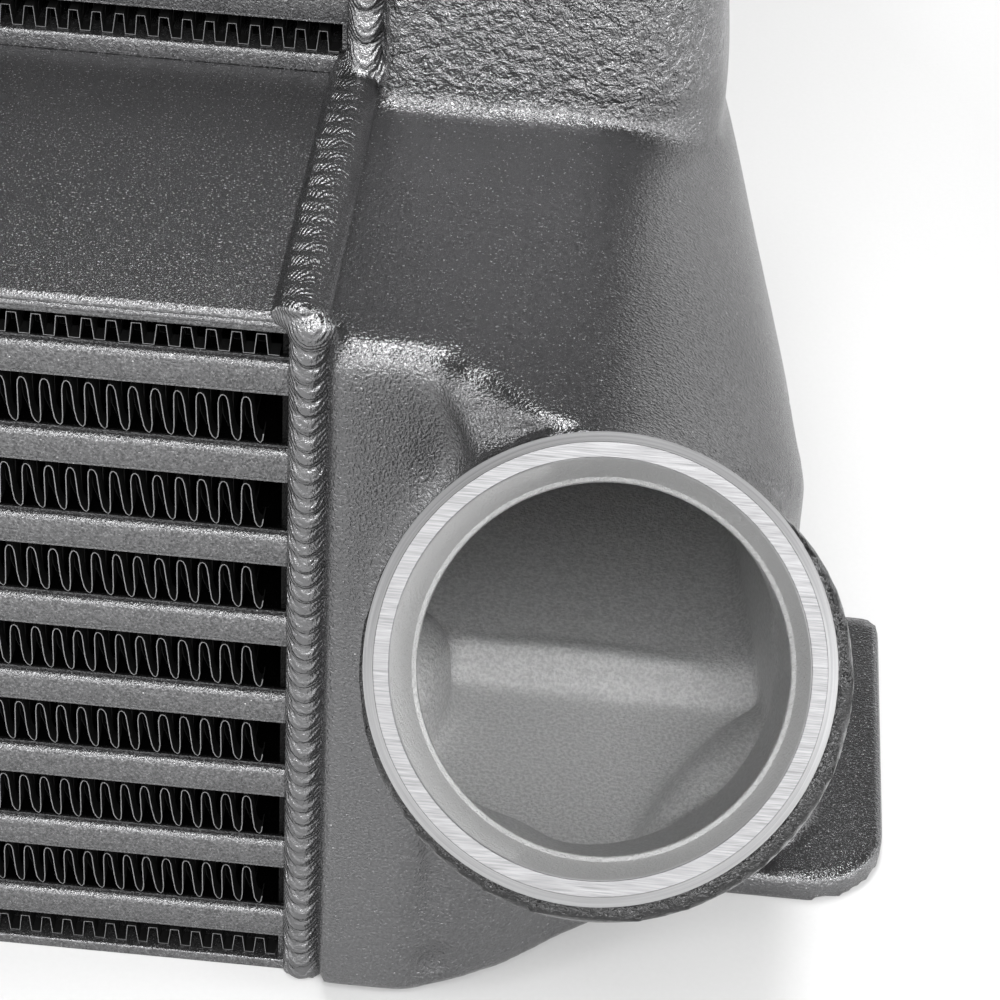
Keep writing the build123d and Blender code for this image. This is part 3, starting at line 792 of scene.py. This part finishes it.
# ---- end tanks ---------------------------------------------------------------------------------
def along_neck(piece):
    """Stands a piece made about Z, its mouth at z = 0, on the neck's mouth."""
    piece.matrix_world = Matrix.Translation(MOUTH) @ Matrix.Rotation(math.pi / 2 - PITCH, 4, "X")
    settle(piece)


FACED = 8 * MM              # depth of the neck that is turned outside
SEATED = 7.4 * MM           # depth of the ring's seat past that


def neck_cutter():
    """The space that the turned ring fills: wide at the mouth, narrow where it goes into the casting."""
    clear_selection()
    wide_radius, seat_radius = 42 * MM, 34 * MM
    bpy.ops.mesh.primitive_cylinder_add(vertices=128, radius=wide_radius, depth=2 * FACED, location=(0, 0, 0))
    wide = bpy.context.object
    edit(wide)
    pick(wide, "faces", lambda m, n: n.z < -0.9)
    bpy.ops.mesh.inset(thickness=wide_radius - seat_radius)
    bpy.ops.mesh.extrude_region_move(TRANSFORM_OT_translate={"value": (0, 0, -SEATED)})
    bpy.ops.object.mode_set(mode="OBJECT")
    along_neck(wide)
    return wide


# the ring's section, in millimetres: radius, and height out of the mouth
RING = (
    (29.25, -11.6), (31.0, -0.3), (31.25, 0),                                  # bored taper
    (33.45, 0), (35.15, -1.9), (35.15, -8.2),                                  # face, chamfer and outside
    (34.2, -8.4), (34.2, -15.3), (28.9, -15.3),                                # seat in the casting
    (28.35, -14.8), (28.3, -13.0), (28.45, -12.6), (29.05, -12.2), (29.25, -11.6),     # stop inside
)


def neck_ring():
    """The machined end of the neck, spun from its section."""
    ring = line([(r * MM, 0, z * MM) for r, z in RING])
    edit(ring)
    bpy.ops.mesh.select_all(action="SELECT")
    bpy.ops.mesh.spin(steps=144, angle=math.tau, center=(0, 0, 0), axis=(0, 0, 1))
    bpy.ops.mesh.select_all(action="DESELECT")
    # the cored bore sits a little off the turned centre
    pick(ring, "verts", lambda at, n: at.xy.length < 30 * MM)
    bpy.ops.transform.translate(value=(0.6 * MM, 0, 0))
    bpy.ops.object.mode_set(mode="OBJECT")
    clean(ring, 0.002 * MM)
    along_neck(ring)
    return ring


def in_neck(at, side):
    """A place as its height out of a neck's mouth and its distance from the neck's axis."""
    offset = at - Vector((side * MOUTH.x, MOUTH.y, MOUTH.z))
    height = offset.dot(NECK_AXIS)
    return height, (offset - NECK_AXIS * height).length


def line_bore(ring, side):
    """Gives the ring's bore, below its turned face, the bare cast finish."""
    ring.data.materials.append(bore_metal)
    edit(ring)
    ring.active_material_index = 1

    def bored(m, n):
        height, radius = in_neck(m, side)
        return height < -0.4 * MM and radius < 31.2 * MM

    pick(ring, "faces", bored)
    bpy.ops.object.material_slot_assign()
    bpy.ops.object.mode_set(mode="OBJECT")


def line_inside(tank, side):
    """Gives the tank's inner skin, from the core's rim to the neck's seat, the bare cast finish."""
    tank.data.materials.append(bore_metal)
    edit(tank)
    tank.active_material_index = 1

    def rim_or_seat(m, n):
        height, radius = in_neck(m, side)
        return abs(m.x) < END + 1.7 * MM or (-14.4 * MM < height < -9 * MM and radius < 35.6 * MM)

    pick(tank, "faces", rim_or_seat)
    bpy.ops.mesh.hide()
    shape = bmesh.from_edit_mesh(tank.data)
    heart = Vector((side * 0.285, 0, 0.075))
    shown = (face for face in shape.faces if not face.hide)
    seed = min(shown, key=lambda face: (face.calc_center_median() - heart).length)
    seed.select_set(True)
    bmesh.update_edit_mesh(tank.data)
    bpy.ops.mesh.select_linked()
    bpy.ops.object.material_slot_assign()
    bpy.ops.mesh.reveal(select=False)
    bpy.ops.object.mode_set(mode="OBJECT")


CAST_CELL = 1.8 * MM        # grid on which the casting's edges melt round
# places worked softer: centre, reach in millimetres, turns of smoothing
BLENDS = (
    ((0.284, -0.112, 0.125), 26, 22),       # valley between the front wall and the hood
    ((0.326, -0.020, 0.160), 24, 30),       # upper half's side into the slanted side
    ((0.323, 0.008, 0.140), 26, 26),        # the same further back
    ((0.286, -0.028, 0.151), 20, 12),       # ledge into the upper half's front
    ((0.310, -0.028, 0.151), 20, 12),       # the same further out
)
# swellings and hollows: centre, spread along X, Y and Z, height in millimetres, direction
SWELLS = (
    ((0.284, -0.108, 0.040), (3.0, 12, 26), -2.0, "NORMAL"),     # upright hollow in the front wall
    ((0.297, -0.100, 0.030), (7, 14, 26), 2.0, "NORMAL"),        # swelling beside it
    ((0.2845, -0.108, 0.011), (4, 6, 4), -1.3, "NORMAL"),        # dent low on the front wall
    ((0.283, -0.112, 0.128), (4, 8, 9), -1.6, "NORMAL"),         # valley under the hood's shoulder
    ((0.2990, -0.1185, 0.1475), (7, 3.5, 2.2), -2.4, "Y"),       # hood's rim carried over the ditch
    ((0.2985, -0.1245, 0.1435), (6, 3.5, 2.5), 2.0, "Y"),        # ditch between the hood and the neck
    ((0.335, -0.110, 0.150), (26, 42, 14), -4.0, "Z"),           # ledge falling away to the neck's outer side
    ((0.3215, 0.0, 0.140), (8, 28, 16), 2.1, "X"),               # upper half's side eased into the lower
    ((0.345, -0.050, 0.090), (30, 70, 50), 1.6, "X"),            # deep half's side, fuller at mid height
)
# lumps run into the casting: centre, half sizes in millimetres, turn about Z in degrees
LUMPS = (
    ((0.2855, -0.1105, 0.1435), (4.5, 4.5, 4.5), 0),             # ridge down the hood's shoulder
    ((0.2880, -0.1135, 0.1405), (4.5, 4.5, 4.5), 0),
    ((0.2900, -0.1165, 0.1370), (4.5, 4.5, 4.5), 0),
    ((0.3060, -0.0190, 0.0072), (44, 3.8, 6.6), -1.5),           # rounded riser across the floor
    ((0.2725, -0.0320, 0.0120), (8, 16, 13), 0),                  # run of metal at the riser's core end
    ((0.3374, -0.0491, 0.0040), (10, 30, 14), -30.5),            # ramp from the floor to the side
)


def casting():
    """The right tank, cut for its ring, melted to cast edges."""
    node = frame["nodes"]["right_end_tank"]
    make_active(node)
    bpy.ops.object.duplicate(linked=False)
    tank = bpy.context.object
    # the copy is a piece of its own, so it sheds the node's parent and tags
    tank.parent = None
    for key in list(tank.keys()):
        del tank[key]
    clean(tank, 0.002 * MM)
    cutter = neck_cutter()
    apply(tank, "BOOLEAN", object=cutter, operation="DIFFERENCE", solver="EXACT")
    bpy.data.objects.remove(cutter)
    lumps = []
    for centre, size, turn in LUMPS:
        lump = ball(size)
        lump.rotation_euler.z = math.radians(turn)
        lump.location = centre
        settle(lump)
        cut_below(lump, 2 * MM)
        lumps.append(lump)
    tank = join([tank] + lumps)
    apply(tank, "REMESH", mode="VOXEL", voxel_size=CAST_CELL)
    apply(tank, "SMOOTH", factor=0.5, iterations=3)
    for centre, reach, turns in BLENDS:
        group = weigh(tank, lambda at: falloff((at - Vector(centre)).length, reach * MM))
        apply(tank, "SMOOTH", factor=0.6, iterations=turns, vertex_group=group)
    for centre, spread, depth, way in SWELLS:
        group = weigh(tank, lambda at: bell(at - Vector(centre), spread))
        apply(tank, "DISPLACE", direction=way, strength=depth * MM, mid_level=0.0, vertex_group=group)
    cut_below(tank, 0.05 * MM, TOUCH)
    return tank


def falloff(distance, reach):
    """A weight that eases from one at the middle to nothing at its reach."""
    u = max(0.0, 1 - distance / reach)
    return u * u * (3 - 2 * u)


def bell(offset, spread):
    """A bell-shaped weight with its own spread, in millimetres, along each axis."""
    return math.exp(-sum((o / (s * MM)) ** 2 for o, s in zip(offset, spread)))


def weigh(piece, weight):
    """A vertex group whose weights come from each vertex's place."""
    group = piece.vertex_groups.new(name="shaping")
    for vertex in piece.data.vertices:
        w = weight(vertex.co)
        if w > 0.01:
            group.add([vertex.index], w, "REPLACE")
    return group.name


def tanks():
    right = casting()
    left = mirrored(right)
    ring = neck_ring()
    twin = mirrored(ring)
    dress(right, "right_tank_casting", cast_metal, "coated_casting", "right_end_tank", angle=80)
    dress(left, "left_tank_casting", cast_metal, "coated_casting", "left_end_tank", angle=80)
    dress(ring, "right_neck_ring", turned_metal("right"), "coated_casting", angle=30)
    dress(twin, "left_neck_ring", turned_metal("left"), "coated_casting", angle=30)
    for side, tank, collar in ((1, right, ring), (-1, left, twin)):
        line_inside(tank, side)
        line_bore(collar, side)


# ---- stage ------------------------------------------------------------------------------------
CAMERA_AT = (0.308, -0.4985, 0.4283)
CAMERA_TURN = (2.46, 38.28, 3.65)       # yaw, pitch down and roll, in degrees
LENS = 111.672
# each lamp: place, width and height, power in watts; all are aimed at the right tank
LAMPS = {
    "key": ((0.5, -1.6, 1.65), (1.3, 0.85), 55),
    "top_key": ((0.2, 0.02, 2.1), (1.2, 0.45), 30),
    "left_strip": ((-1.5, -1.2, 0.9), (0.5, 1.3), 20),
    "right_strip": ((1.9, -0.45, 0.5), (0.5, 0.9), 15),
    "low_strip": ((0.3, -2.4, 0.5), (2.4, 0.5), 6),
}
AIM = Vector((0.3, 0, 0.1))


def camera():
    """The camera above the right front corner, looking down at the neck."""
    yaw, pitch, roll = (math.radians(angle) for angle in CAMERA_TURN)
    level = Vector((-math.sin(yaw), math.cos(yaw), 0))
    forward = level * math.cos(pitch) - Vector((0, 0, math.sin(pitch)))
    side = Vector((math.cos(yaw), math.sin(yaw), 0))
    head = side.cross(forward)
    right = side * math.cos(roll) + head * math.sin(roll)
    up = head * math.cos(roll) - side * math.sin(roll)
    bpy.ops.object.camera_add()
    made = bpy.context.object
    made.matrix_world = Matrix.Translation(CAMERA_AT) @ Matrix((right, up, -forward)).transposed().to_4x4()
    made.data.lens = LENS
    made.data.sensor_width = 36
    bpy.context.scene.camera = made


def softbox(name, at, size, power):
    bpy.ops.object.light_add(type="AREA", location=at)
    lamp = bpy.context.object
    lamp.name = name
    lamp.data.shape = "RECTANGLE"
    lamp.data.size, lamp.data.size_y = size
    lamp.data.energy = power
    lamp.rotation_euler = (AIM - Vector(at)).to_track_quat("-Z", "Y").to_euler()


def stage():
    clear_selection()
    bpy.ops.mesh.primitive_plane_add(size=60)
    floor = bpy.context.object
    floor.name = "floor"
    floor.data.materials.append(paper_floor())
    for name, (at, size, power) in LAMPS.items():
        softbox(name, at, size, power)
    world = bpy.data.worlds.new("studio")
    bpy.context.scene.world = world
    world.use_nodes = True
    tree = world.node_tree
    # pale walls up to about 16 degrees, fading to a dark room above 31; behind the part the camera sees white
    way = add(tree, "ShaderNodeTexCoord").outputs["Generated"]
    height = add(tree, "ShaderNodeSeparateXYZ", {0: way}).outputs["Z"]
    wall = add(tree, "ShaderNodeMapRange", {0: height, 1: 0.28, 2: 0.52, 3: 1.65, 4: 0.03})
    behind = add(tree, "ShaderNodeLightPath").outputs["Is Camera Ray"]
    seen = add(tree, "ShaderNodeMath", {0: behind, 1: wall.outputs[0]}, operation="MAXIMUM")
    tree.links.new(seen.outputs[0], tree.nodes["Background"].inputs["Color"])
    bpy.context.scene.view_settings.view_transform = "Standard"


handling = bpy.data.textures.new("handling", "CLOUDS")
handling.noise_scale = 7 * MM
cast_metal, bore_metal, weld_metal, fin_metal, inner_metal = (
    coated_casting(), bare_casting(), coated_weld(), fin_sheet(), bare_sheet())
bar_metal = coated_bar("coated_blasted_plate")
tube_metal = {block: coated_bar(f"coated_{block}_bars", (front, BACK))
              for block, (front, *_) in BLOCKS.items()}
camera()
stage()
plates()
tubes()
fins()
tanks()
beads()
for name, node in frame["nodes"].items():
    if "turbulator" in name:
        node.data.materials.clear()
        node.data.materials.append(inner_metal)
